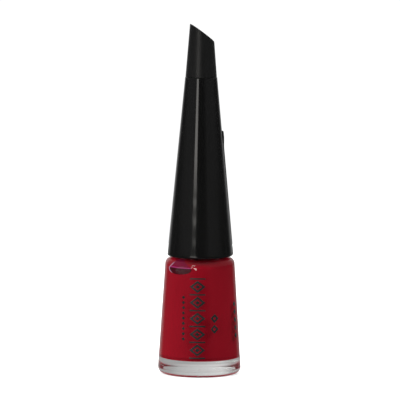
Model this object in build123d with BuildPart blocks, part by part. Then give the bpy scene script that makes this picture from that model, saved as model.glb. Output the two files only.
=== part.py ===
from build123d import *

import os
from math import cos, radians, sin, tan

# A nail polish bottle: a tapering round glass bottle of lacquer, closed by a tall conical
# cap that carries the brush. It stands on z = 0 with its axis on +Z, and its printed front
# faces -Y. All sizes are in millimetres.

# ---- Driving dimensions ----

# Glass body, a cone that narrows upwards
body_foot_radius = 13.785      # where the cone would meet the table without its rounded heel
body_taper = 0.0633            # radius lost for each millimetre of height
heel_fillet = 2.4
push_up = 1.4                  # height of the hollow under the base
standing_ring_inner = 9.2
shoulder_z = 38.4
shoulder_fillet = 2.0
glass_wall = 2.0
floor_z = 5.2                  # top of the thick glass base
floor_fillet = 1.2
floor_dome = 0.25              # how much higher the floor is on the axis
shoulder_slope = 0.3           # how much higher the shoulder is at the neck
inner_shoulder_z = 37.2
inner_shoulder_fillet = 1.8

# Neck finish, 13 mm across with a 415 thread
neck_root_radius = 5.7
neck_fillet = 0.8
neck_ring_radius = 6.3
neck_ring_z = (39.5, 40.7)
bore_radius = 3.65
lip_z = 50.6
lip_fillet = 0.35
thread_crest_radius = 6.45
thread_pitch = 2.117
thread_base = 1.1              # width of a ridge where it leaves its wall
thread_land = 0.45             # width of its crest
thread_embed = 0.2             # how far a ridge runs into its wall
neck_thread_z = 43.6
neck_thread_turns = 2.0

# Lacquer, which stops just short of the glass and leaves the brush's channel open
lacquer_gap = 0.05
lacquer_top_z = 36.8
brush_channel_radius = 1.95
brush_channel_floor_z = 7.0
ball_radius = 2.0
ball_places = (200, 265)       # degrees round the axis
ball_ring_radius = 7.2

# Underside label
label_radius = 7.2
label_thickness = 0.1

# Foil ornaments on the outside of the glass: plain geometric trim
foil = 0.07
ornament_low_z = 5.6
ornament_high_z = 33.4
column_x = -0.7                # a column of open lozenges between level bars
column_z = 19.7
column_pitch = 5.2
column_count = 5
column_size = (5.2, 4.0)
column_opening = 0.6           # share of a lozenge that is open
core_size = (1.7, 1.3)
bar_height = 0.45
bead_x = -5.3                  # a row of small lozenges beside it
bead_size = (1.1, 1.2)
bead_pitch = 1.7
bead_count = 9
pair_x = 4.9                   # two open lozenges on its other side
pair_z = 17.9
pair_pitch = 3.5
pair_size = (2.6, 3.0)
pair_opening = 0.4
side_angle = -23               # degrees from +X, so it shows near the right-hand edge
side_z = 18.5
side_pitch = 2.6
side_count = 5
side_size = (1.9, 2.0)

# Overcap, a long cone, and its raised rib
cap_rim_z = 39.1
cap_top_z = 98.1
cap_rim_radius = 10.8
cap_taper = 0.0937
cap_wall = 1.2
cap_rim_fillet = 0.4
cap_edge_fillet = 0.25
cap_seat_z = 94.6              # foot of the bore that takes the tip's plug
cap_seat_radius = 4.05
clocking = 14                  # degrees from +X towards +Y of the rib and of the tip's low side
rib_width = 3.5
rib_height = 0.32
rib_head_height = 0.6          # it swells to a head at its rounded upper end
rib_head_z = (74.5, 78.6)      # where the swelling starts and where it is highest
rib_end_z = 80.4
rib_foot_gap = 0.15            # how far the rib stops short of the rim
rib_embed = 0.5                # how far the rib runs into the wall
web_count = 6
web_thickness = 1.0
web_reach_z = 57.5
web_step = 1.6                 # depth of the step that stops the inner cap
web_drop = 0.6                 # how far the webs reach below the inner cap
cap_seat_slope = 0.4           # slope of the shelf under the seat

# Tip, pressed into the overcap and cut off at a slant
tip_foot_radius = 5.16
tip_taper = 0.0786
tip_cut_angle = 37
tip_cut_z = 112.85             # where the slanted face crosses the axis
tip_edge_fillet = 0.18
tip_plug_z = 92.2
tip_hollow_radius = 2.9
tip_hollow_top_z = 106.0

# Inner cap, threaded, with a grip-ribbed outside and a socket for the brush stem
inner_cap_foot_z = 41.4
inner_cap_plate_z = 51.5
inner_cap_top_z = 52.9
inner_cap_radius = 7.9
inner_cap_grip_radius = 8.15
inner_cap_bore_radius = 7.15
grip_count = 24
grip_width = 0.7
grip_inset = 0.6               # how far the grips stop short of the inner cap's two ends
cap_thread_crest_radius = 6.6
cap_thread_turns = 1.5
socket_radius = 2.95
socket_bore_radius = 2.05
socket_foot_z = 45.0

# Liner between the bottle's lip and the inner cap
liner_inner_radius = 3.15
liner_outer_radius = 6.4

# Brush
stem_head_radius = 2.0
stem_head_z = (45.6, 51.3)
stem_radius = 1.45
stem_foot_z = 24.0
stem_flare = 0.6               # length of the cone below the stem's head
tuft_bore_radius = 1.05
tuft_bore_depth = 4.6
staple_size = (1.9, 0.28, 1.5)
staple_corner = 0.08
tuft_tip_z = 8.2
tuft_tip_radius = 0.9
tuft_tip_round = 0.25          # how much higher the tuft's tip is at its edge
tuft_waist_drop = 0.4          # how far below the stem the tuft starts to swell
tuft_belly_z = 13.0
tuft_belly_radius = 1.55


# ---- Shapes worked out from the dimensions ----

def body_radius(z):
    return body_foot_radius - body_taper * z


def cavity_radius(z):
    return body_radius(z) - glass_wall


def cap_radius(z):
    return cap_rim_radius - cap_taper * (z - cap_rim_z)


def tip_radius(z):
    return tip_foot_radius - tip_taper * (z - cap_top_z)


def radial_plane(angle):
    """The upright plane through the axis: local x points outwards, local y up."""
    a = radians(angle)
    return Plane((0, 0, 0), x_dir=(cos(a), sin(a), 0), z_dir=(sin(a), -cos(a), 0))


def facing_plane(angle):
    """The upright plane through the axis that looks outwards: local y points up."""
    a = radians(angle)
    return Plane((0, 0, 0), x_dir=(-sin(a), cos(a), 0), z_dir=(cos(a), sin(a), 0))


def thread_ridge(wall_radius, crest_radius, start_z, turns):
    """One helical ridge that stands on a wall and reaches to its crest, inwards or outwards."""
    outwards = 1 if crest_radius > wall_radius else -1
    foot = wall_radius - outwards * thread_embed
    with BuildPart() as ridge:
        with BuildLine() as helix:
            Helix(thread_pitch, turns * thread_pitch, wall_radius, center=(0, 0, start_z))
        with BuildSketch(Plane.XZ):
            with BuildLine():
                Polyline(
                    (foot, start_z - thread_base / 2),
                    (crest_radius, start_z - thread_land / 2),
                    (crest_radius, start_z + thread_land / 2),
                    (foot, start_z + thread_base / 2),
                    close=True,
                )
            make_face()
        sweep(path=helix.wires()[0], is_frenet=True)
    return ridge.part


parts = []


# ---- Bottle ----

neck_thread = thread_ridge(neck_root_radius, thread_crest_radius, neck_thread_z, neck_thread_turns)

with BuildPart() as glass_bottle:
    with BuildSketch(Plane.XZ):
        with BuildLine():
            wall_line = FilletPolyline(
                (0, push_up),
                (standing_ring_inner - push_up, push_up),
                (standing_ring_inner, 0),
                (body_radius(0), 0),
                (body_radius(shoulder_z), shoulder_z),
                (neck_root_radius, shoulder_z + shoulder_slope),
                (neck_root_radius, neck_ring_z[0]),
                (neck_ring_radius, neck_ring_z[0]),
                (neck_ring_radius, neck_ring_z[1]),
                (neck_root_radius, neck_ring_z[1]),
                (neck_root_radius, lip_z),
                (bore_radius, lip_z),
                (bore_radius, inner_shoulder_z),
                (cavity_radius(inner_shoulder_z), inner_shoulder_z - shoulder_slope),
                (cavity_radius(floor_z), floor_z),
                (0, floor_z + floor_dome),
                radius=[
                    0.5, 0.4, heel_fillet, shoulder_fillet, 0.3, 0.15, 0.25, 0.25, 0.15,
                    lip_fillet, lip_fillet, neck_fillet, inner_shoulder_fillet, floor_fillet,
                ],
            )
            Line(wall_line @ 1, wall_line @ 0)
        make_face()
    revolve(axis=Axis.Z)
    add(neck_thread)
glass_bottle.part.label = "glass_bottle"
parts.append(glass_bottle.part)

# The balls lie in the corner of the floor, where shaking leaves them.
ball_z = floor_z + floor_dome + ball_radius
ball_centres = [
    (ball_ring_radius * cos(radians(place)), ball_ring_radius * sin(radians(place)), ball_z)
    for place in ball_places
]
for number, centre in enumerate(ball_centres, start=1):
    with BuildPart() as mixing_ball:
        with Locations(centre):
            Sphere(ball_radius)
    mixing_ball.part.label = f"mixing_ball_{number}"
    parts.append(mixing_ball.part)

with BuildPart() as lacquer:
    with BuildSketch(Plane.XZ):
        with BuildLine():
            skin = FilletPolyline(
                (0, floor_z + floor_dome + lacquer_gap),
                (cavity_radius(floor_z) - lacquer_gap, floor_z + lacquer_gap),
                (cavity_radius(lacquer_top_z) - lacquer_gap, lacquer_top_z),
                (0, lacquer_top_z),
                radius=[floor_fillet, inner_shoulder_fillet],
            )
            Line(skin @ 1, skin @ 0)
        make_face()
    revolve(axis=Axis.Z)
    with BuildSketch(Plane.XY.offset(brush_channel_floor_z)):
        Circle(brush_channel_radius)
    extrude(amount=lacquer_top_z - brush_channel_floor_z, mode=Mode.SUBTRACT)
    with Locations(*ball_centres):
        Sphere(ball_radius, mode=Mode.SUBTRACT)
lacquer.part.label = "lacquer"
parts.append(lacquer.part)

with BuildPart() as underside_label:
    with BuildSketch(Plane.XY.offset(push_up - label_thickness)):
        Circle(label_radius)
    extrude(amount=label_thickness)
underside_label.part.label = "underside_label"
parts.append(underside_label.part)


# ---- Foil ornaments: flat shapes cut through a thin conical skin on the glass ----

def foil_skin():
    """A conical ring, as thick as the foil, on the outside of the glass."""
    with BuildPart() as skin:
        with BuildSketch(Plane.XZ):
            with BuildLine():
                Polyline(
                    (body_radius(ornament_low_z), ornament_low_z),
                    (body_radius(ornament_low_z) + foil, ornament_low_z),
                    (body_radius(ornament_high_z) + foil, ornament_high_z),
                    (body_radius(ornament_high_z), ornament_high_z),
                    close=True,
                )
            make_face()
        revolve(axis=Axis.Z)
    return skin.part


def lozenge(x, z, size, opening=0):
    """A rhombus in the open sketch, with a smaller one cut out of it where it is open."""
    for share, mode in ((1, Mode.ADD), (opening, Mode.SUBTRACT)):
        if share:
            half_width, half_height = share * size[0] / 2, share * size[1] / 2
            corners = ((0, -half_height), (half_width, 0), (0, half_height), (-half_width, 0))
            with Locations((x, z)):
                Polygon(*corners, mode=mode)


def spaced(middle, pitch, count):
    """Evenly spaced places about a middle."""
    return [middle + pitch * (place - (count - 1) / 2) for place in range(count)]


with BuildPart() as front_ornament:
    add(foil_skin())
    with BuildSketch(facing_plane(-90)):
        for z in spaced(column_z, column_pitch, column_count):
            lozenge(column_x, z, column_size, column_opening)
            lozenge(column_x, z, core_size)
        for z in spaced(column_z, column_pitch, column_count + 1):
            with Locations((column_x, z)):
                Rectangle(column_size[0], bar_height)
        for z in spaced(column_z, bead_pitch, bead_count):
            lozenge(bead_x, z, bead_size)
        for z in spaced(pair_z, pair_pitch, 2):
            lozenge(pair_x, z, pair_size, pair_opening)
    extrude(amount=body_foot_radius + 1, mode=Mode.INTERSECT)
front_ornament.part.label = "front_ornament"
parts.append(front_ornament.part)

with BuildPart() as side_ornament:
    add(foil_skin())
    with BuildSketch(facing_plane(side_angle)):
        for z in spaced(side_z, side_pitch, side_count):
            lozenge(0, z, side_size)
    extrude(amount=body_foot_radius + 1, mode=Mode.INTERSECT)
side_ornament.part.label = "side_ornament"
parts.append(side_ornament.part)


# ---- Seal ----

with BuildPart() as sealing_liner:
    with BuildSketch(Plane.XY.offset(lip_z)):
        Circle(liner_outer_radius)
        Circle(liner_inner_radius, mode=Mode.SUBTRACT)
    extrude(amount=inner_cap_plate_z - lip_z)
sealing_liner.part.label = "sealing_liner"
parts.append(sealing_liner.part)


# ---- Brush ----

staple_z = stem_foot_z + tuft_bore_depth - staple_size[2]

with BuildPart() as brush_stem:
    with BuildSketch(Plane.XZ):
        with BuildLine():
            rod = FilletPolyline(
                (0, stem_foot_z + tuft_bore_depth),
                (tuft_bore_radius, stem_foot_z + tuft_bore_depth),
                (tuft_bore_radius, stem_foot_z),
                (stem_radius, stem_foot_z),
                (stem_radius, stem_head_z[0] - stem_flare),
                (stem_head_radius, stem_head_z[0]),
                (stem_head_radius, stem_head_z[1]),
                (0, stem_head_z[1]),
                radius=[0, 0.08, 0.15, 0.4, 0.3, 0.2],
            )
            Line(rod @ 1, rod @ 0)
        make_face()
    revolve(axis=Axis.Z)
brush_stem.part.label = "brush_stem"
parts.append(brush_stem.part)

with BuildPart() as brush_staple:
    with BuildSketch(Plane.XY.offset(staple_z)):
        RectangleRounded(staple_size[0], staple_size[1], staple_corner)
    extrude(amount=staple_size[2])
brush_staple.part.label = "brush_staple"
parts.append(brush_staple.part)

# The filaments are folded over the staple, so the staple fills a slot across the tuft's top.
with BuildPart() as bristles:
    with BuildSketch(Plane.XZ):
        with BuildLine():
            side = FilletPolyline(
                (0, tuft_tip_z),
                (tuft_tip_radius, tuft_tip_z + tuft_tip_round),
                (tuft_belly_radius, tuft_belly_z),
                (tuft_bore_radius, stem_foot_z - tuft_waist_drop),
                (tuft_bore_radius, staple_z + staple_size[2]),
                (0, staple_z + staple_size[2]),
                radius=[0.6, 6, 3, 0.2],
            )
            Line(side @ 1, side @ 0)
        make_face()
    revolve(axis=Axis.Z)
    with BuildSketch(Plane.XY.offset(staple_z)):
        RectangleRounded(staple_size[0], staple_size[1], staple_corner)
    extrude(amount=staple_size[2], mode=Mode.SUBTRACT)
bristles.part.label = "bristles"
parts.append(bristles.part)


# ---- Cap ----

cap_thread = thread_ridge(
    inner_cap_bore_radius, cap_thread_crest_radius, neck_thread_z - thread_pitch / 2, cap_thread_turns
)

with BuildPart() as inner_cap:
    with BuildSketch(Plane.XZ):
        with BuildLine():
            shell = FilletPolyline(
                (0, inner_cap_top_z),
                (inner_cap_radius, inner_cap_top_z),
                (inner_cap_radius, inner_cap_foot_z),
                (inner_cap_bore_radius, inner_cap_foot_z),
                (inner_cap_bore_radius, inner_cap_plate_z),
                (socket_radius, inner_cap_plate_z),
                (socket_radius, socket_foot_z),
                (socket_bore_radius, socket_foot_z),
                (socket_bore_radius, inner_cap_plate_z),
                (0, inner_cap_plate_z),
                radius=[0.4, 0.2, 0.2, 0, 0, 0.2, 0.15, 0],
            )
            Line(shell @ 1, shell @ 0)
        make_face()
    revolve(axis=Axis.Z)
    with BuildSketch(Plane.XY.offset(inner_cap_foot_z + grip_inset)):
        with PolarLocations(inner_cap_radius, grip_count):
            Rectangle(2 * (inner_cap_grip_radius - inner_cap_radius), grip_width)
    extrude(amount=inner_cap_top_z - inner_cap_foot_z - 2 * grip_inset)
    add(cap_thread)
inner_cap.part.label = "inner_cap"
parts.append(inner_cap.part)

# The rib is a parallel-sided tongue cut from a thicker cone round the overcap.
with BuildPart() as rib:
    with BuildSketch(Plane.XZ):
        with BuildLine():
            Polyline(
                (cap_radius(cap_rim_z) - rib_embed, cap_rim_z + rib_foot_gap),
                (cap_radius(cap_rim_z) + rib_height, cap_rim_z + rib_foot_gap),
                (cap_radius(rib_head_z[0]) + rib_height, rib_head_z[0]),
                (cap_radius(rib_head_z[1]) + rib_head_height, rib_head_z[1]),
                (cap_radius(rib_end_z) + rib_height, rib_end_z),
                (cap_radius(rib_end_z) - rib_embed, rib_end_z),
                close=True,
            )
        make_face()
    revolve(axis=Axis.Z)
    with BuildSketch(facing_plane(clocking)):
        with Locations((0, (cap_rim_z + rib_end_z) / 2 - rib_width)):
            SlotOverall(rib_end_z - cap_rim_z + 2 * rib_width, rib_width, rotation=90)
    extrude(amount=cap_rim_radius + 2, mode=Mode.INTERSECT)

with BuildPart() as overcap:
    with BuildSketch(Plane.XZ):
        with BuildLine():
            cone = FilletPolyline(
                (cap_radius(cap_rim_z) - cap_wall, cap_rim_z),
                (cap_radius(cap_rim_z), cap_rim_z),
                (cap_radius(cap_top_z), cap_top_z),
                (cap_seat_radius, cap_top_z),
                (cap_seat_radius, cap_seat_z),
                (cap_radius(cap_seat_z) - cap_wall, cap_seat_z - cap_seat_slope),
                radius=[cap_rim_fillet, cap_edge_fillet, 0.1, 0.1],
            )
            Line(cone @ 1, cone @ 0)
        make_face()
    revolve(axis=Axis.Z)
    add(rib.part)
    # Webs inside the cone grip the inner cap, and their step stops it.
    for place in range(web_count):
        with BuildSketch(radial_plane(clocking + place * 360 / web_count)):
            with BuildLine():
                Polyline(
                    (inner_cap_grip_radius, inner_cap_foot_z - web_drop),
                    (inner_cap_grip_radius, inner_cap_top_z),
                    (inner_cap_grip_radius - web_step, inner_cap_top_z),
                    (inner_cap_grip_radius - web_step, web_reach_z),
                    (cap_radius(web_reach_z) - cap_wall / 2, web_reach_z),
                    (cap_radius(inner_cap_foot_z) - cap_wall / 2, inner_cap_foot_z - web_drop),
                    close=True,
                )
            make_face()
        extrude(amount=web_thickness / 2, both=True)
overcap.part.label = "overcap"
parts.append(overcap.part)

# The slanted face falls away towards the clocking direction.
slant = radians(tip_cut_angle)
turn = radians(clocking)
cut_plane = Plane(
    (0, 0, tip_cut_z),
    x_dir=(-sin(turn), cos(turn), 0),
    z_dir=(sin(slant) * cos(turn), sin(slant) * sin(turn), cos(slant)),
)
tip_peak_z = tip_cut_z + tip_foot_radius * tan(slant)

with BuildPart() as cap_tip:
    with BuildSketch(Plane.XZ):
        with BuildLine():
            cone = FilletPolyline(
                (tip_hollow_radius, tip_plug_z),
                (cap_seat_radius, tip_plug_z),
                (cap_seat_radius, cap_top_z),
                (tip_radius(cap_top_z), cap_top_z),
                (tip_radius(tip_peak_z), tip_peak_z),
                (0, tip_peak_z),
                (0, tip_hollow_top_z),
                (tip_hollow_radius, tip_hollow_top_z),
                radius=[0.4, 0, 0.15, 0, 0, 0.8],
            )
            Line(cone @ 1, cone @ 0)
        make_face()
    revolve(axis=Axis.Z)
    split(bisect_by=cut_plane, keep=Keep.BOTTOM)
    fillet(faces().filter_by(cut_plane).edges(), tip_edge_fillet)
cap_tip.part.label = "cap_tip"
parts.append(cap_tip.part)


# ---- Files ----

os.makedirs("parts", exist_ok=True)
for part in parts:
    export_step(part, f"parts/{part.label}.step")
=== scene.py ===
import math
import random

import bpy
from mathutils import Matrix, Vector, noise


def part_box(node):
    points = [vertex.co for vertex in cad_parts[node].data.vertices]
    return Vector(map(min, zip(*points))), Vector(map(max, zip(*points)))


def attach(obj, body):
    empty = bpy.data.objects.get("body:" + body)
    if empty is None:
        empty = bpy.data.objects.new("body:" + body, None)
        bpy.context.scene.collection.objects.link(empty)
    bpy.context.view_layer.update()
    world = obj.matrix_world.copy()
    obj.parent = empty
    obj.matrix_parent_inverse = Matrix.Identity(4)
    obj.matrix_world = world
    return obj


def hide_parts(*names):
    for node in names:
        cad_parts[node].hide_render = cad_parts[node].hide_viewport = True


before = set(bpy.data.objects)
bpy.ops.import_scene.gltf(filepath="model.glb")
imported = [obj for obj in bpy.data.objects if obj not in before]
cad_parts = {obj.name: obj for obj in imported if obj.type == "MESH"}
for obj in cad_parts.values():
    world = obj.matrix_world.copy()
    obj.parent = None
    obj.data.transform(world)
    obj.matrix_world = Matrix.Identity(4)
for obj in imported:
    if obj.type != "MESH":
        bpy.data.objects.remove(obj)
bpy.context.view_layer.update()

MM = 0.001
FRONT = -90.0                 # degrees from +X: the printed front faces -Y

# ---------------------------------------------------------------- sizes, in millimetres

glass_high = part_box("glass_bottle")[1] / MM
lacquer_low, lacquer_high = (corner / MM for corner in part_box("lacquer"))
cap_low, cap_high = (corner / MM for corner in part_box("overcap"))
tip_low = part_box("cap_tip")[0] / MM
tuft_low, tuft_high = (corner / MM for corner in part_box("bristles"))
label_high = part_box("underside_label")[1] / MM

# Glass: a cone with a rounded heel and shoulder, a threaded neck and a thick base
BODY_FOOT_R = 13.785
BODY_TAPER = 0.0633
HEEL_R = 2.4
SHOULDER_Z = 38.4
SHOULDER_R = 2.0
SHOULDER_SLOPE = 0.3           # how much higher the shoulder is at the neck
GLASS_WALL = 2.0
LACQUER_GAP = 0.05             # what the CAD leaves between lacquer and glass
FLOOR_Z = lacquer_low.z - LACQUER_GAP
FLOOR_DOME = 0.25              # how much higher the floor is on the axis
FLOOR_R = 1.2
INNER_SHOULDER_Z = 37.2
INNER_SHOULDER_R = 1.8
LABEL_AIR = 0.02               # between the label and the glass
PUSH_UP = label_high.z + LABEL_AIR
RING_INNER_R = 9.2
LIP_Z = glass_high.z
BORE_R = 3.65
NECK_R = 5.7
NECK_RING_R = 6.3
NECK_RING_Z = (39.5, 40.7)
THREAD_R = 6.45
THREAD_PITCH = 2.117
THREAD_Z = 43.6
THREAD_TURNS = 2.0

# Overcap: a long cone with a raised rib on the side that the tip slants to
CAP_RIM_R = 10.8
CAP_TAPER = 0.0937
CAP_WALL = 1.2
CAP_SEAT_R = 4.05
CAP_SEAT_Z = 94.6
CAP_SEAT_SLOPE = 0.4
CLOCKING = 14.0
RIB_WIDTH = 3.5
RIB_PROUD = 0.32
RIB_HEAD_PROUD = 0.6
RIB_HEAD_Z = (74.5, 78.6)
RIB_END_Z = 80.4
RIB_FOOT_GAP = 0.15            # how far the rib stops short of the rim
RIB_EMBED = 0.35               # how far it runs into the wall

# Tip: a satin cone cut off at a slant
TIP_FOOT_R = 5.16
TIP_TAPER = 0.0786
TIP_CUT = math.radians(37)
TIP_CUT_Z = 112.85
TIP_EDGE_R = 0.18
TIP_HOLLOW_R, TIP_HOLLOW_Z = 2.9, 106.0


def body_r(z):
    return BODY_FOOT_R - BODY_TAPER * z


def cap_r(z):
    return CAP_RIM_R - CAP_TAPER * (z - cap_low.z)


def tip_r(z):
    return TIP_FOOT_R - TIP_TAPER * (z - cap_high.z)


def smooth_step(low, high, x):
    t = min(max((x - low) / (high - low), 0.0), 1.0)
    return t * t * (3 - 2 * t)


# ---------------------------------------------------------------- mesh helpers

def rounded(points, radii, steps=7):
    """An outline of (radius, height) points whose inner corners are rounded."""
    points = [Vector(p) for p in points]
    outline = [points[0]]
    for before, corner, after, radius in zip(points, points[1:], points[2:], radii):
        if radius == 0:
            outline.append(corner)
            continue
        a, b = (before - corner).normalized(), (after - corner).normalized()
        half = a.angle(b) / 2
        centre = corner + (a + b).normalized() * radius / math.sin(half)
        start = corner + a * radius / math.tan(half) - centre
        end = corner + b * radius / math.tan(half) - centre
        sweep = start.angle(end)
        for i in range(steps + 1):
            t = i / steps
            arm = start * math.sin((1 - t) * sweep) + end * math.sin(t * sweep)
            outline.append(centre + arm / math.sin(sweep))
    outline.append(points[-1])
    return outline


def divided(outline, longest, longest_at=None):
    """The same outline with no run longer than the given length, or than the length that
    longest_at gives for the run's middle."""
    fine = [outline[0]]
    for start, end in zip(outline, outline[1:]):
        limit = longest_at(start.lerp(end, 0.5)) if longest_at else longest
        count = max(1, math.ceil((end - start).length / limit))
        fine += [start.lerp(end, i / count) for i in range(1, count + 1)]
    return fine


def mesh_piece(name, vertices, faces, material, body, sharp=35.0):
    """A new piece in millimetres, smooth except at sharp corners, riding on a body."""
    mesh = bpy.data.meshes.new(name)
    mesh.from_pydata([Vector(v) * MM for v in vertices], [], faces)
    mesh.validate()
    mesh.shade_smooth()
    mesh.set_sharp_from_angle(angle=math.radians(sharp))
    mesh.materials.append(material)
    piece = bpy.data.objects.new(name, mesh)
    bpy.context.scene.collection.objects.link(piece)
    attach(piece, body)
    return piece


def lathe(outline, segments, shape=None, closed=False):
    """Vertices and faces of an outline turned round the axis. Its points on the axis become
    poles, and shape(r, z, angle) may move each of the others."""
    vertices, faces, rings = [], [], []
    for r, z in outline:
        if r < 1e-6:
            rings.append([len(vertices)])
            vertices.append((0.0, 0.0, z))
            continue
        rings.append(range(len(vertices), len(vertices) + segments))
        for i in range(segments):
            angle = 2 * math.pi * i / segments
            rr, zz = shape(r, z, angle) if shape else (r, z)
            vertices.append((rr * math.cos(angle), rr * math.sin(angle), zz))
    pairs = list(zip(rings, rings[1:]))
    if closed:
        pairs.append((rings[-1], rings[0]))
    for low, high in pairs:
        if len(low) == 1 and len(high) == 1:
            continue
        for i in range(segments):
            j = (i + 1) % segments
            if len(low) == 1:
                faces.append((low[0], high[j], high[i]))
            elif len(high) == 1:
                faces.append((low[i], low[j], high[0]))
            else:
                faces.append((low[i], low[j], high[j], high[i]))
    return vertices, faces


# ---------------------------------------------------------------- material helpers

class Nodes:
    """A material's node tree, with short calls for the nodes used here."""

    def __init__(self, name, **sockets):
        self.material = bpy.data.materials.new(name)
        self.material.use_nodes = True
        self.tree = self.material.node_tree
        self.shader = self.tree.nodes["Principled BSDF"]
        for key, value in sockets.items():
            self.shader.inputs[key.replace("_", " ")].default_value = value
        self.coordinates = self.add("ShaderNodeTexCoord").outputs["Object"]

    def add(self, kind, inputs=None, **settings):
        node = self.tree.nodes.new(kind)
        for key, value in settings.items():
            setattr(node, key, value)
        for key, value in (inputs or {}).items():
            self.join(value, node.inputs[key])
        return node

    def join(self, value, socket):
        if isinstance(value, bpy.types.NodeSocket):
            self.tree.links.new(value, socket)
        else:
            socket.default_value = value

    def noise(self, scale, detail=3.0, stretch=(1, 1, 1), roughness=0.5):
        moved = self.add(
            "ShaderNodeMapping", {"Vector": self.coordinates, "Scale": stretch}
        ).outputs[0]
        settings = {"Vector": moved, "Scale": scale, "Detail": detail, "Roughness": roughness}
        return self.add("ShaderNodeTexNoise", settings).outputs["Fac"]

    def remap(self, value, low, high, to_low, to_high, smooth=False):
        kind = "SMOOTHSTEP" if smooth else "LINEAR"
        settings = {"Value": value, "From Min": low, "From Max": high,
                    "To Min": to_low, "To Max": to_high}
        return self.add("ShaderNodeMapRange", settings, interpolation_type=kind).outputs[0]

    def mix(self, factor, a, b):
        node = self.add("ShaderNodeMix", data_type="RGBA")
        self.join(factor, node.inputs[0])
        self.join(a, node.inputs[6])
        self.join(b, node.inputs[7])
        return node.outputs[2]

    def math(self, operation, a, b):
        return self.add("ShaderNodeMath", {0: a, 1: b}, operation=operation).outputs[0]

    def set(self, **sockets):
        for key, value in sockets.items():
            self.join(value, self.shader.inputs[key.replace("_", " ")])

    def bump(self, height, strength, distance):
        settings = {"Height": height, "Strength": strength, "Distance": distance}
        self.set(Normal=self.add("ShaderNodeBump", settings).outputs[0])


def gray(value):
    return (value, value, value, 1.0)


# ---------------------------------------------------------------- materials

HEEL_STIPPLE_Z = (0.9, 2.4)    # the heel is finely stippled, clear above this


def clear_glass():
    m = Nodes("clear glass", Base_Color=(0.965, 0.98, 0.972, 1), IOR=1.52, Transmission_Weight=1.0)
    smudge = m.remap(m.noise(260, 4), 0.45, 0.8, 0.0, 0.035)
    height = m.add("ShaderNodeSeparateXYZ", {"Vector": m.coordinates}).outputs["Z"]
    stipple = m.remap(height, HEEL_STIPPLE_Z[0] * MM, HEEL_STIPPLE_Z[1] * MM, 0.22, 0.0, True)
    m.set(Roughness=m.math("ADD", smudge, stipple))
    m.bump(m.noise(90, 2, (1, 1, 0.6)), 0.12, 0.00006)
    return m.material


# The air pocket that the thick lacquer has left under the shoulder, at the front left. Its look is
# painted on the lacquer: painted shade inside it, a painted highlight line across it and a painted
# pale reflection on its left rim
POCKET_ANGLE = math.radians(FRONT - 43)
POCKET_HALF_ANGLE = math.radians(28)
POCKET_Z = 35.3
POCKET_HALF_Z = 1.75
POCKET_DEPTH = 0.1
DENT_ANGLE = math.radians(FRONT - 34)      # the dent itself, which ends short of its patch of painted shade
DENT_HALF_ANGLE = math.radians(18)
POCKET_HIGHLIGHT_LINE = 0.3              # height of the painted highlight line in it, as a share of its half height


def red_lacquer():
    """It wets the glass, so it has no reflecting surface of its own behind it."""
    m = Nodes("red lacquer", Roughness=0.35, IOR=1.47, Specular_IOR_Level=0.0)
    cloud = m.remap(m.noise(70, 3), 0.3, 0.7, 0, 1)
    red = m.mix(cloud, (0.375, 0.0072, 0.0190, 1), (0.345, 0.0064, 0.0172, 1))
    place = m.add("ShaderNodeSeparateXYZ", {"Vector": m.coordinates}).outputs
    # Turned so that the pocket's middle lies at angle zero
    turned = m.add("ShaderNodeVectorRotate", {"Vector": m.coordinates, "Angle": -POCKET_ANGLE},
                   rotation_type="Z_AXIS").outputs[0]
    split = m.add("ShaderNodeSeparateXYZ", {"Vector": turned}).outputs
    across = m.math("DIVIDE", m.math("ARCTAN2", split["Y"], split["X"]), POCKET_HALF_ANGLE)
    up = m.math("DIVIDE", m.math("SUBTRACT", place["Z"], POCKET_Z * MM), POCKET_HALF_Z * MM)
    squares = m.math("ADD", m.math("MULTIPLY", across, across), m.math("MULTIPLY", up, up))
    # inside marks the pocket, where painted shade and painted highlight replace the lacquer's own red
    inside = m.remap(squares, 0.9, 1.02, 1, 0, True)
    above = m.remap(up, POCKET_HIGHLIGHT_LINE - 0.08, POCKET_HIGHLIGHT_LINE + 0.08, 0, 1, True)
    # A thin bright line across the pocket: a painted highlight
    painted_highlight_line = m.remap(m.math("ABSOLUTE", m.math("SUBTRACT", up, POCKET_HIGHLIGHT_LINE), 0.0), 0.03, 0.14, 1, 0)
    # film is the pocket's painted shade: dark wine below, lighter pink above
    film = m.mix(above, (0.066, 0.004, 0.0095, 1), (0.25, 0.005, 0.040, 1))
    film = m.mix(painted_highlight_line, film, (0.5, 0.05, 0.2, 1))
    # rim and left mark the pocket's left edge, where a pale painted reflection is laid over the
    # painted shade
    rim = m.remap(m.math("ABSOLUTE", m.math("SUBTRACT", squares, 0.9), 0.0), 0.02, 0.13, 1, 0)
    left = m.remap(across, -0.75, -0.45, 1, 0, True)
    film = m.mix(m.math("MULTIPLY", rim, left), film, (0.62, 0.42, 0.60, 1))
    m.set(Base_Color=m.mix(inside, red, film))
    m.bump(m.noise(500, 2), 0.05, 0.00002)
    return m.material


def gloss_black():
    m = Nodes("gloss black", IOR=1.5)
    rub = m.noise(140, 4, (1, 1, 0.25))
    m.set(Base_Color=m.mix(rub, gray(0.0013), gray(0.0021)))
    m.set(Roughness=m.remap(rub, 0.3, 0.75, 0.045, 0.12))
    scratches = m.noise(900, 2, (1, 1, 0.03))
    m.bump(scratches, 0.03, 0.00002)
    return m.material


def satin_black():
    m = Nodes("satin black", IOR=1.48)
    grain = m.noise(5200, 2)
    worn = m.noise(190, 3)
    m.set(Base_Color=m.mix(worn, gray(0.0022), gray(0.0036)))
    m.set(Roughness=m.remap(worn, 0.3, 0.7, 0.34, 0.44))
    m.bump(grain, 0.25, 0.00002)
    return m.material


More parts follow.
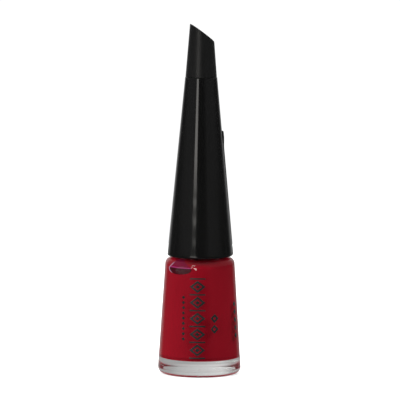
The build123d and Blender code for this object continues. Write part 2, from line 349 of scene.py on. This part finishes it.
def dark_foil():
    m = Nodes("dark foil", Metallic=0.7, IOR=1.5)
    patch = m.noise(420, 3)
    m.set(Base_Color=m.mix(patch, (0.009, 0.0125, 0.013, 1), (0.026, 0.036, 0.038, 1)))
    m.set(Roughness=m.remap(patch, 0.3, 0.7, 0.25, 0.45))
    m.bump(m.noise(2500, 2), 0.1, 0.00002)
    return m.material


def moulded_plastic(name, dark, light, low_rough, high_rough):
    m = Nodes(name, IOR=1.49)
    flow = m.noise(300, 3, (1, 1, 0.4))
    m.set(Base_Color=m.mix(flow, dark, light))
    m.set(Roughness=m.remap(flow, 0.3, 0.7, low_rough, high_rough))
    m.bump(m.noise(1800, 2), 0.12, 0.00003)
    return m.material


def coated_stem():
    """Black rod, coated with lacquer below the level that it stands in."""
    m = Nodes("coated stem", IOR=1.48)
    height = m.add("ShaderNodeSeparateXYZ", {"Vector": m.coordinates}).outputs["Z"]
    drift = m.math("MULTIPLY", m.noise(320, 3, (1, 1, 0.3)), 0.006)
    level = lacquer_high.z * MM
    wet = m.remap(m.math("ADD", height, drift), level + 0.0025, level + 0.0035, 1, 0, True)
    m.set(Base_Color=m.mix(wet, gray(0.012), (0.24, 0.004, 0.010, 1)))
    m.set(Roughness=m.remap(wet, 0, 1, 0.4, 0.08))
    m.bump(m.noise(700, 2), 0.2, 0.00005)
    return m.material


def wet_filament():
    m = Nodes("wet filament", IOR=1.5)
    streak = m.noise(1500, 3, (1, 1, 0.08))
    m.set(Base_Color=m.mix(streak, (0.20, 0.003, 0.008, 1), (0.26, 0.005, 0.012, 1)))
    m.set(Roughness=m.remap(streak, 0.3, 0.7, 0.08, 0.25))
    m.bump(streak, 0.2, 0.00003)
    return m.material


def brushed_metal(name, dark, light):
    m = Nodes(name, Metallic=1.0)
    grain = m.noise(1600, 3, (1, 1, 0.15))
    m.set(Base_Color=m.mix(grain, dark, light))
    m.set(Roughness=m.remap(grain, 0.3, 0.7, 0.14, 0.3))
    m.bump(grain, 0.08, 0.00002)
    return m.material


def label_film():
    m = Nodes("label film", IOR=1.45)
    fibre = m.noise(3200, 4)
    m.set(Base_Color=m.mix(fibre, gray(0.72), (0.8, 0.8, 0.78, 1)))
    m.set(Roughness=m.remap(fibre, 0.3, 0.7, 0.5, 0.65))
    m.bump(fibre, 0.15, 0.00002)
    return m.material


def liner_foam():
    m = Nodes("liner foam", IOR=1.45)
    cells = m.add("ShaderNodeTexVoronoi", {"Vector": m.coordinates, "Scale": 3500.0})
    tone = m.remap(cells.outputs["Distance"], 0, 0.6, 0, 1)
    m.set(Base_Color=m.mix(tone, (0.72, 0.72, 0.69, 1), (0.84, 0.84, 0.81, 1)))
    m.set(Roughness=m.remap(tone, 0, 1, 0.55, 0.75))
    m.bump(tone, 0.3, 0.00004)
    return m.material


def pale_floor():
    m = Nodes("pale floor", Roughness=0.9)
    tooth = m.noise(60, 5)
    m.set(Base_Color=m.mix(tooth, gray(0.90), gray(0.92)))
    m.bump(m.noise(900, 3), 0.03, 0.0001)
    return m.material


GLASS = clear_glass()
LACQUER = red_lacquer()
GLOSS = gloss_black()
SATIN = satin_black()
FOIL = dark_foil()
STEM = coated_stem()
FILAMENT = wet_filament()
PLASTIC = moulded_plastic("inner cap plastic", gray(0.020), gray(0.028), 0.35, 0.5)
STEEL = brushed_metal("ball steel", gray(0.55), gray(0.66))
BRASS = brushed_metal("staple brass", (0.62, 0.44, 0.18, 1), (0.74, 0.56, 0.27, 1))
LABEL = label_film()
LINER = liner_foam()

for node, material in {
    "brush_stem": STEM, "brush_staple": BRASS, "inner_cap": PLASTIC, "sealing_liner": LINER,
    "mixing_ball_1": STEEL, "mixing_ball_2": STEEL, "underside_label": LABEL,
}.items():
    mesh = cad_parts[node].data
    mesh.materials.clear()
    mesh.materials.append(material)


# ---------------------------------------------------------------- glass and lacquer

def thread_height(z, angle):
    """How far the neck's thread stands off its wall, from 0 to 1, with tapered ends."""
    turns = angle / (2 * math.pi)
    best = 0.0
    for turn in range(-1, int(THREAD_TURNS) + 2):
        along = turn + turns
        if not 0 <= along <= THREAD_TURNS:
            continue
        off = abs(z - THREAD_Z - along * THREAD_PITCH)
        ridge = 1 - smooth_step(0.25, 0.6, off)
        ends = smooth_step(0, 0.12, along) * smooth_step(0, 0.12, THREAD_TURNS - along)
        best = max(best, ridge * ends)
    return best


PRESS_MARKS = 0.09             # how uneven the pressed underside is
WALL_WAVE = 0.05               # how uneven the inside of the wall is


def wall_wave(z, angle, seed):
    """The slow unevenness of a blown wall, from -1 to 1."""
    around = Vector((2.2 * math.cos(angle), 2.2 * math.sin(angle), z / 9 + seed))
    return noise.noise(around)


def cavity_r(r, z, angle):
    return r + WALL_WAVE * wall_wave(z, angle, 7.0)


def glass_shape(r, z, angle):
    if z < PUSH_UP + 0.05 and r < RING_INNER_R - PUSH_UP:
        place = Vector((r * math.cos(angle) / 2.4, r * math.sin(angle) / 1.5, 4.0))
        return r, z + PRESS_MARKS * (0.5 + 0.5 * noise.noise(place))
    neck = NECK_RING_Z[1] + 0.5 < z < LIP_Z - 0.8
    if neck and r > NECK_R - 0.05:
        return r + (THREAD_R - NECK_R) * thread_height(z, angle), z
    if FLOOR_Z - 0.1 < z < INNER_SHOULDER_Z and r < body_r(z) - 0.8 * GLASS_WALL:
        inward = smooth_step(0, 4, r) * smooth_step(INNER_SHOULDER_Z, INNER_SHOULDER_Z - 3, z)
        return r + inward * (cavity_r(r, z, angle) - r), z
    return r, z


def inner_r(z):
    return body_r(z) - GLASS_WALL


SEGMENTS = 256                 # faces round each turned piece
GLASS_STEP, THREAD_STEP = 0.35, 0.1


def glass_step(middle):
    """How long a run of the glass outline may be: short where the thread stands on the neck."""
    on_neck = middle.x > NECK_R - 0.05 and NECK_RING_Z[1] < middle.y < LIP_Z
    return THREAD_STEP if on_neck else GLASS_STEP


def make_glass():
    outline = rounded(
        [
            (0, PUSH_UP), (RING_INNER_R - PUSH_UP, PUSH_UP), (RING_INNER_R, 0), (body_r(0), 0),
            (body_r(SHOULDER_Z), SHOULDER_Z), (NECK_R, SHOULDER_Z + SHOULDER_SLOPE),
            (NECK_R, NECK_RING_Z[0]), (NECK_RING_R, NECK_RING_Z[0]),
            (NECK_RING_R, NECK_RING_Z[1]), (NECK_R, NECK_RING_Z[1]), (NECK_R, LIP_Z),
            (BORE_R, LIP_Z), (BORE_R, INNER_SHOULDER_Z),
            (inner_r(INNER_SHOULDER_Z), INNER_SHOULDER_Z - SHOULDER_SLOPE),
            (inner_r(FLOOR_Z), FLOOR_Z), (0, FLOOR_Z + FLOOR_DOME),
        ],
        [0.5, 0.4, HEEL_R, SHOULDER_R, 0.3, 0.15, 0.25, 0.25, 0.15, 0.35, 0.35, 0.8,
         INNER_SHOULDER_R, FLOOR_R],
        steps=10,
    )
    vertices, faces = lathe(divided(outline, GLASS_STEP, glass_step), SEGMENTS, glass_shape)
    piece = mesh_piece("glass_shell", vertices, faces, GLASS, "bottle")
    piece.visible_shadow = False
    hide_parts("glass_bottle")


LACQUER_OVERLAP = 0.04         # how far the lacquer reaches into the glass
LACQUER_STEP = 0.3


def lacquer_shape(r, z, angle):
    if r < 1:
        return r, z
    turn = (angle - DENT_ANGLE + math.pi) % (2 * math.pi) - math.pi
    out = math.hypot(turn / DENT_HALF_ANGLE, (z - POCKET_Z) / POCKET_HALF_Z)
    dent = POCKET_DEPTH * math.sqrt(max(0.0, 1 - out * out))
    wall = smooth_step(inner_r(z) - 1.6, inner_r(z) - 0.3, r)
    return cavity_r(r, z, angle) - dent * wall, z


def make_lacquer():
    top = INNER_SHOULDER_Z + LACQUER_OVERLAP
    grow = LACQUER_OVERLAP
    outline = rounded(
        [
            (0, FLOOR_Z + FLOOR_DOME - grow), (inner_r(FLOOR_Z) + grow, FLOOR_Z - grow),
            (inner_r(top) + grow, top - SHOULDER_SLOPE), (BORE_R + 0.8, top),
            (BORE_R - 0.2, top - 0.9),
            (0, top - 1.1),
        ],
        [FLOOR_R, INNER_SHOULDER_R, 0.5, 0.6],
        steps=10,
    )
    vertices, faces = lathe(divided(outline, LACQUER_STEP), SEGMENTS, lacquer_shape)
    piece = mesh_piece("lacquer_fill", vertices, faces, LACQUER, "bottle")
    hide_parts("lacquer")


make_glass()
make_lacquer()


# ---------------------------------------------------------------- foil ornaments

FOIL_THICK = 0.07
FOIL_EMBED = 0.03
COLUMN_X, COLUMN_Z, COLUMN_PITCH, COLUMN_COUNT = -0.7, 19.7, 5.2, 5
COLUMN_SIZE, COLUMN_OPENING = (5.2, 4.0), 0.6
CORE_SIZE = (1.7, 1.3)
BAR_HEIGHT = 0.45
BEAD_X, BEAD_SIZE, BEAD_PITCH, BEAD_COUNT = -5.3, (1.1, 1.2), 1.7, 9
PAIR_X, PAIR_Z, PAIR_PITCH = 4.9, 17.9, 3.5
PAIR_SIZE, PAIR_OPENING = (2.6, 3.0), 0.4
SIDE_ANGLE, SIDE_Z, SIDE_PITCH, SIDE_COUNT = -23.0, 18.5, 2.6, 5
SIDE_SIZE = (1.9, 2.0)


def spaced(middle, pitch, count):
    """Evenly spaced places about a middle."""
    return [middle + pitch * (place - (count - 1) / 2) for place in range(count)]


def perimeter(corners, per_side=10):
    """Points round a polygon, evenly spaced along each side."""
    corners = [Vector(c) for c in corners]
    points = []
    for start, end in zip(corners, corners[1:] + corners[:1]):
        points += [start.lerp(end, i / per_side) for i in range(per_side)]
    return points


def lozenge(x, z, size, hole=0.0):
    corners = [(0, -size[1] / 2), (size[0] / 2, 0), (0, size[1] / 2), (-size[0] / 2, 0)]
    return Vector((x, z)), perimeter(corners), hole


def bar(x, z, size):
    right, top = size[0] / 2, size[1] / 2
    return Vector((x, z)), perimeter([(-right, -top), (right, -top), (right, top), (-right, top)]), 0.0


def foil_piece(name, shapes, angle, node):
    """Flat shapes laid onto the glass cone as seen from one side, each a thin closed solid."""
    turn = Matrix.Rotation(math.radians(angle), 3, "Z")
    vertices, faces = [], []

    def lay(point, lift):
        r = body_r(point.y) + lift
        return turn @ Vector((math.sqrt(r * r - point.x * point.x), point.x, point.y))

    for centre, outer, hole in shapes:
        bands = 6
        scales = [1 - (1 - hole) * k / bands for k in range(bands + 1 if hole else bands)]
        layers = [(s, FOIL_THICK) for s in scales] + [(s, -FOIL_EMBED) for s in reversed(scales)]
        count, base, loops = len(outer), len(vertices), len(layers)
        for scale, lift in layers:
            vertices += [lay(centre + p * scale, lift) for p in outer]
        for k in range(loops):
            if not hole and k == loops // 2 - 1:
                continue
            a, b = base + k * count, base + (k + 1) % loops * count
            for i in range(count):
                j = (i + 1) % count
                faces.append((a + i, a + j, b + j, b + i))
        if not hole:
            # A solid shape is closed at its middle, on its face and on its back.
            face_ring = base + (loops // 2 - 1) * count
            back_ring = face_ring + count
            middle = len(vertices)
            vertices += [lay(centre, FOIL_THICK), lay(centre, -FOIL_EMBED)]
            for i in range(count):
                j = (i + 1) % count
                faces.append((middle, face_ring + i, face_ring + j))
                faces.append((middle + 1, back_ring + j, back_ring + i))
    piece = mesh_piece(name, vertices, faces, FOIL, "bottle")
    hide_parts(node)


def front_shapes():
    column = spaced(COLUMN_Z, COLUMN_PITCH, COLUMN_COUNT)
    shapes = [lozenge(COLUMN_X, z, COLUMN_SIZE, COLUMN_OPENING) for z in column]
    shapes += [lozenge(COLUMN_X, z, CORE_SIZE) for z in column]
    bars = spaced(COLUMN_Z, COLUMN_PITCH, COLUMN_COUNT + 1)
    shapes += [bar(COLUMN_X, z, (COLUMN_SIZE[0], BAR_HEIGHT)) for z in bars]
    shapes += [lozenge(BEAD_X, z, BEAD_SIZE) for z in spaced(COLUMN_Z, BEAD_PITCH, BEAD_COUNT)]
    shapes += [lozenge(PAIR_X, z, PAIR_SIZE, PAIR_OPENING) for z in spaced(PAIR_Z, PAIR_PITCH, 2)]
    return shapes


def side_shapes():
    return [lozenge(0, z, SIDE_SIZE) for z in spaced(SIDE_Z, SIDE_PITCH, SIDE_COUNT)]


foil_piece("front_foil", front_shapes(), FRONT, "front_ornament")
foil_piece("side_foil", side_shapes(), SIDE_ANGLE, "side_ornament")


# ---------------------------------------------------------------- cap

WAVE_ANGLE = math.radians(FRONT - 9)
WAVE_HALF_ANGLE = math.radians(13)
WAVE_DEPTH = 0.012
WAVE_LENGTH = 6.2
CAP_STEP = 0.5


def overcap_wave(z, angle):
    """Shallow sink marks down one side of the overcap's lower part, in millimetres."""
    turn = (angle - WAVE_ANGLE + math.pi) % (2 * math.pi) - math.pi
    across = max(0.0, 1 - (turn / WAVE_HALF_ANGLE) ** 2) ** 2
    along = smooth_step(66, 52, z) * smooth_step(39.5, 42, z)
    drift = noise.noise(Vector((0.3, 0.7, z / 9)))
    return WAVE_DEPTH * across * along * math.sin(2 * math.pi * z / WAVE_LENGTH + 2.0 + 1.5 * drift)


def overcap_shape(r, z, angle):
    if r > cap_r(z) - 0.3 * CAP_WALL:
        return r + overcap_wave(z, angle), z
    return r, z


def make_overcap():
    rim, top = cap_low.z, cap_high.z
    outline = rounded(
        [
            (cap_r((rim + top) / 2) - CAP_WALL, (rim + top) / 2), (cap_r(rim) - CAP_WALL, rim),
            (cap_r(rim), rim), (cap_r(top), top), (CAP_SEAT_R, top), (CAP_SEAT_R, CAP_SEAT_Z),
            (cap_r(CAP_SEAT_Z) - CAP_WALL, CAP_SEAT_Z - CAP_SEAT_SLOPE),
            (cap_r((rim + top) / 2) - CAP_WALL, (rim + top) / 2),
        ],
        [0.2, 0.4, 0.25, 0.1, 0, 0],
        steps=8,
    )
    vertices, faces = lathe(divided(outline[:-1], CAP_STEP), SEGMENTS, overcap_shape, closed=True)
    piece = mesh_piece("overcap_shell", vertices, faces, GLOSS, "cap")
    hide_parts("overcap")


def make_rib():
    """The raised tongue: parallel sides, a domed face and a rounded upper end."""
    rows, columns, foot = 150, 24, cap_low.z + RIB_FOOT_GAP
    length = RIB_END_Z - foot
    vertices, faces = [], []
    for i in range(rows + 1):
        z = foot + length * i / rows
        end = RIB_END_Z - z
        share = 1.0
        if end < RIB_WIDTH / 2:
            share = math.sqrt(max(0.0, 1 - (1 - end / (RIB_WIDTH / 2)) ** 2))
        half = RIB_WIDTH / 2 * max(share, 0.02)
        head = smooth_step(RIB_HEAD_Z[0], RIB_HEAD_Z[1], z)
        proud = RIB_PROUD + (RIB_HEAD_PROUD - RIB_PROUD) * head
        for j in range(columns + 1):
            across = -1 + 2 * j / columns
            edge = 1 - abs(across) ** 8
            rise = (proud + RIB_EMBED) * edge ** 0.5 * min(1.0, end / 0.3 + 0.05) - RIB_EMBED
            turn = math.radians(CLOCKING) + half * across / cap_r(z)
            r = cap_r(z) + rise
            vertices.append((r * math.cos(turn), r * math.sin(turn), z))
    wide = columns + 1
    for i in range(rows):
        for j in range(columns):
            a = i * wide + j
            faces.append((a, a + 1, a + wide + 1, a + wide))
        faces.append((i * wide, (i + 1) * wide, (i + 1) * wide + columns, i * wide + columns))
    faces.append(tuple(reversed(range(wide))))
    faces.append(tuple(range(rows * wide, rows * wide + wide)))
    piece = mesh_piece("overcap_rib", vertices, faces, GLOSS, "cap", 50)
    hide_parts("overcap")


WEB_COUNT = 6
WEB_HALF = 0.5
WEB_ROUND = 0.15
GRIP_R = 8.15
WEB_LOW, WEB_STEP_Z, WEB_HIGH = 40.8, 52.9, 57.5
WEB_STEP = 1.6


def make_webs():
    """Six upright webs that grip the inner cap, with a step that stops it."""
    profile = [
        (GRIP_R, WEB_LOW), (GRIP_R, WEB_STEP_Z), (GRIP_R - WEB_STEP, WEB_STEP_Z),
        (GRIP_R - WEB_STEP, WEB_HIGH), (cap_r(WEB_HIGH) - CAP_WALL / 2, WEB_HIGH),
        (cap_r(WEB_LOW) - CAP_WALL / 2, WEB_LOW),
    ]
    middle = Vector((sum(p[0] for p in profile), sum(p[1] for p in profile))) / len(profile)
    layers = [(-WEB_HALF, 1), (WEB_ROUND - WEB_HALF, 0), (WEB_HALF - WEB_ROUND, 0), (WEB_HALF, 1)]
    vertices, faces = [], []
    for place in range(WEB_COUNT):
        turn = math.radians(CLOCKING + place * 360 / WEB_COUNT)
        base, count = len(vertices), len(profile)
        for side, inset in layers:
            for corner in map(Vector, profile):
                point = corner + (middle - corner).normalized() * WEB_ROUND * inset
                vertices.append((
                    point.x * math.cos(turn) - side * math.sin(turn),
                    point.x * math.sin(turn) + side * math.cos(turn),
                    point.y,
                ))
        for layer in range(len(layers) - 1):
            a, b = base + layer * count, base + (layer + 1) * count
            faces += [(a + i, a + (i + 1) % count, b + (i + 1) % count, b + i) for i in range(count)]
        last = base + (len(layers) - 1) * count
        faces.append(tuple(range(base + count - 1, base - 1, -1)))
        faces.append(tuple(range(last, last + count)))
    piece = mesh_piece("overcap_webs", vertices, faces, GLOSS, "cap", 30)
    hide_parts("overcap")


def cut_height(x, y):
    """Height of the tip's slanted face over a point."""
    toward = math.radians(CLOCKING)
    return TIP_CUT_Z - math.tan(TIP_CUT) * (x * math.cos(toward) + y * math.sin(toward))


def make_tip():
    foot, plug, hollow = cap_high.z, tip_low.z, TIP_HOLLOW_R
    segments, rings = 192, 60
    vertices, faces = [], []

    def ring(radius_at, height_at):
        for i in range(segments):
            angle = 2 * math.pi * i / segments
            r = radius_at(angle)
            vertices.append((r * math.cos(angle), r * math.sin(angle), height_at(angle, r)))

    def side_top(angle):
        z = TIP_CUT_Z
        for _ in range(6):
            r = tip_r(z)
            z = cut_height(r * math.cos(angle), r * math.sin(angle))
        return z

    tops = [side_top(2 * math.pi * i / segments) for i in range(segments)]

    def top_of(angle):
        return tops[round(angle / (2 * math.pi) * segments) % segments]

    lower = rounded(
        [(hollow, TIP_HOLLOW_Z), (hollow, plug), (CAP_SEAT_R, plug), (CAP_SEAT_R, foot),
         (TIP_FOOT_R, foot), (tip_r(foot + 1), foot + 1)],
        [0, 0.4, 0, 0.15], steps=5,
    )
    for r, z in divided(lower[:-1], 1.0):
        ring(lambda angle, r=r: r, lambda angle, radius, z=z: z)
    start = lower[-2].y
    edge = 1.6 * TIP_EDGE_R
    for k in range(1, rings + 1):
        t = k / rings
        ring(
            lambda angle, t=t: tip_r(start + t * (top_of(angle) - edge - start)),
            lambda angle, r, t=t: start + t * (top_of(angle) - edge - start),
        )
    for k in range(1, 7):
        turn = math.pi / 2 * k / 6
        ring(
            lambda angle, s=turn: tip_r(top_of(angle)) - TIP_EDGE_R * (1 - math.cos(s)),
            lambda angle, r, s=turn: top_of(angle) - edge + (
                cut_height(r * math.cos(angle), r * math.sin(angle)) - top_of(angle) + edge
            ) * math.sin(s),
        )
    for k in range(1, 12):
        ring(
            lambda angle, t=k / 12: (tip_r(top_of(angle)) - TIP_EDGE_R) * (1 - t),
            lambda angle, r: cut_height(r * math.cos(angle), r * math.sin(angle)),
        )
    count = len(vertices) // segments
    for k in range(count - 1):
        for i in range(segments):
            j = (i + 1) % segments
            a, b = k * segments, (k + 1) * segments
            faces.append((a + i, a + j, b + j, b + i))
    vertices += [(0, 0, TIP_CUT_Z), (0, 0, TIP_HOLLOW_Z)]
    last = (count - 1) * segments
    for i in range(segments):
        j = (i + 1) % segments
        faces.append((last + i, last + j, len(vertices) - 2))
        faces.append((j, i, len(vertices) - 1))
    piece = mesh_piece("tip_shell", vertices, faces, SATIN, "cap")
    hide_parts("cap_tip")


make_overcap()
make_rib()
make_webs()
make_tip()


# ---------------------------------------------------------------- brush

TUFT_BORE_R = 1.05
TUFT_BELLY_R = 1.55
TUFT_BELLY_Z = 13.0
TUFT_WAIST_Z = 23.6
FILAMENT_COUNT = 220
FILAMENT_R = 0.05
FILAMENT_SEED = 11
GOLDEN_ANGLE = math.radians(137.508)


def make_filaments():
    """The tuft: fine filaments that leave the stem's bore, swell and end in a rounded tip."""
    chance = random.Random(FILAMENT_SEED)
    tip, top, sides, steps = tuft_low.z, tuft_high.z, 6, 18
    vertices, faces = [], []
    for number in range(FILAMENT_COUNT):
        share = math.sqrt((number + 0.5) / FILAMENT_COUNT)
        angle = number * GOLDEN_ANGLE
        stray = chance.uniform(-0.04, 0.04)
        end = tip + 0.9 * share ** 4 + chance.uniform(0, 0.35)
        base = len(vertices)
        for k in range(steps + 1):
            z = top + (end - top) * k / steps
            swell = smooth_step(TUFT_WAIST_Z, TUFT_BELLY_Z, z)
            close = 0.35 * smooth_step(TUFT_BELLY_Z - 1, tip, z)
            reach = TUFT_BORE_R + (TUFT_BELLY_R - TUFT_BORE_R) * (swell - close) - FILAMENT_R
            r = reach * share
            turn = angle + stray * swell * 3
            thin = FILAMENT_R * (1 - 0.6 * smooth_step(0.9, 1.0, k / steps))
            for i in range(sides):
                around = 2 * math.pi * i / sides
                vertices.append((
                    r * math.cos(turn) + thin * math.cos(around),
                    r * math.sin(turn) + thin * math.sin(around),
                    z,
                ))
        for k in range(steps):
            a, b = base + k * sides, base + (k + 1) * sides
            faces += [(a + i, b + i, b + (i + 1) % sides, a + (i + 1) % sides) for i in range(sides)]
        faces.append(tuple(range(base, base + sides)))
        faces.append(tuple(range(base + steps * sides + sides - 1, base + steps * sides - 1, -1)))
    piece = mesh_piece("tuft_filaments", vertices, faces, FILAMENT, "brush", 60)
    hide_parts("bristles")


make_filaments()


# ---------------------------------------------------------------- camera, light and stage

CAMERA_DISTANCE = 2.0
CAMERA_ELEVATION = 6.6
FRAME_WIDTH = 0.1316          # metres across the picture at the bottle
AIM = Vector((-0.00012, 0, 0.0574))
ROLL = 0.38


def make_camera():
    data = bpy.data.cameras.new("camera")
    data.sensor_width = 36
    data.lens = 36 * CAMERA_DISTANCE / FRAME_WIDTH
    data.clip_start, data.clip_end = 0.1, 20
    camera = bpy.data.objects.new("camera", data)
    rise = math.radians(CAMERA_ELEVATION)
    back = Vector((0, -math.cos(rise), math.sin(rise)))
    camera.location = AIM + back * CAMERA_DISTANCE
    tilt = Matrix.Rotation(math.radians(90 - CAMERA_ELEVATION), 4, "X")
    roll = Matrix.Rotation(math.radians(ROLL), 4, "Z")
    camera.rotation_euler = (tilt @ roll).to_euler()
    bpy.context.scene.collection.objects.link(camera)
    bpy.context.scene.camera = camera


def area_light(name, place, aim, size, radiance, color=(1, 1, 1)):
    """A soft panel at a place, facing the aim, with a given radiance."""
    data = bpy.data.lights.new(name, "AREA")
    data.shape, data.size, data.size_y = "RECTANGLE", size[0], size[1]
    data.energy = radiance * math.pi * size[0] * size[1]
    data.color = color
    light = bpy.data.objects.new(name, data)
    light.location = place
    light.rotation_euler = (Vector(place) - Vector(aim)).to_track_quat("Z", "Y").to_euler()
    bpy.context.scene.collection.objects.link(light)
    return light


STRIP_ANGLE = math.radians(23.2)
STRIP_DISTANCE = 1.2
STRIP_WIDTH = 0.28
STRIP_FOOT_WIDTH = 0.5
STRIP_TINT = (1.0, 0.975, 0.93)
FLOOR_RADIUS = 0.35


def make_lights():
    """A tall strip at the front left in three lengths, the lowest one wider, two high side
    panels, a top, and the light that the table throws back up."""
    x = -STRIP_DISTANCE * math.sin(STRIP_ANGLE)
    y = -STRIP_DISTANCE * math.cos(STRIP_ANGLE)
    strips = [("strip_foot", 0.0335, 0.06, STRIP_FOOT_WIDTH, 7.5),
              ("strip_low", 0.11, 0.146, STRIP_WIDTH, 0.35), ("strip", 0.146, 0.834, STRIP_WIDTH, 3.2)]
    for name, low, high, width, radiance in strips:
        z = (low + high) / 2
        area_light(name, (x, y, z), (0, 0, z), (width, high - low), radiance, STRIP_TINT)
    soft = [
        area_light("left_panel", (-1.2, -0.5, 0.95), (0, 0, 0.03), (0.9, 0.7), 10.6),
        area_light("right_panel", (1.2, -0.5, 0.95), (0, 0, 0.03), (0.9, 0.7), 7.2),
        area_light("overhead", (0, 0.4, 2.0), (0, 0.4, 0), (3.0, 3.0), 3.2),
        area_light("table_bounce", (0, 0, 0.0005), (0, 0, 1), (0.6, 0.6), 1.8),
    ]
    for light in soft:
        light.visible_camera = light.visible_glossy = light.visible_transmission = False


SEEN_WHITE = 1.06              # the plain background, a little over white
THROUGH_GLASS = 0.38           # the same pale background, as it shows through the glass


def make_world():
    """White behind the object, gray to its sides, and dim in front and along the horizon."""
    world = bpy.data.worlds.new("studio")
    world.use_nodes = True
    tree = world.node_tree
    direction = tree.nodes.new("ShaderNodeTexCoord").outputs["Generated"]
    split = tree.nodes.new("ShaderNodeSeparateXYZ")
    tree.links.new(direction, split.inputs[0])

    def ramp(axis, low, high, to_low, to_high):
        node = tree.nodes.new("ShaderNodeMapRange")
        node.interpolation_type = "SMOOTHSTEP"
        for place, value in enumerate((low, high, to_low, to_high), start=1):
            node.inputs[place].default_value = value
        tree.links.new(split.outputs[axis], node.inputs[0])
        return node.outputs[0]

    def both(operation, a, b):
        node = tree.nodes.new("ShaderNodeMath")
        node.operation = operation
        tree.links.new(a, node.inputs[0])
        if isinstance(b, float):
            node.inputs[1].default_value = b
        else:
            tree.links.new(b, node.inputs[1])
        return node.outputs[0]

    sides = both("MULTIPLY", ramp("Y", -0.99, -0.8, 0.045, 0.19), ramp("X", -0.6, 0.6, 1.1, 0.9))
    low_sides = both("MULTIPLY", sides, ramp("Z", 0.0, 0.05, 0.25, 1.0))
    behind = both("MULTIPLY", ramp("Y", 0.6, 0.96, 0.0, 0.40), ramp("X", -0.7, 0.7, 1.3, 0.7))
    studio = both("ADD", low_sides, behind)
    path = tree.nodes.new("ShaderNodeLightPath")
    seen = both("MULTIPLY", path.outputs["Is Camera Ray"], SEEN_WHITE)
    through = both("MULTIPLY", path.outputs["Is Transmission Ray"], THROUGH_GLASS)
    seen = both("MAXIMUM", seen, through)
    background = tree.nodes["Background"]
    background.inputs["Color"].default_value = (1, 1, 1, 1)
    tree.links.new(both("MAXIMUM", studio, seen), background.inputs["Strength"])
    bpy.context.scene.world = world


def make_floor():
    """A plain pale disc."""
    mesh = bpy.data.meshes.new("floor")
    count = 96
    turns = [2 * math.pi * i / count for i in range(count)]
    rim = [(FLOOR_RADIUS * math.cos(t), FLOOR_RADIUS * math.sin(t), 0) for t in turns]
    mesh.from_pydata(rim, [], [tuple(range(count))])
    mesh.materials.append(pale_floor())
    floor = bpy.data.objects.new("floor", mesh)
    bpy.context.scene.collection.objects.link(floor)
    floor.visible_glossy = False
    floor.visible_transmission = False


make_camera()
make_lights()
make_world()
make_floor()

scene = bpy.context.scene
scene.view_settings.view_transform = "Standard"
scene.cycles.use_denoising = True
scene.cycles.caustics_reflective = False
scene.cycles.caustics_refractive = False
scene.cycles.max_bounces = scene.cycles.glossy_bounces = scene.cycles.transmission_bounces = 20
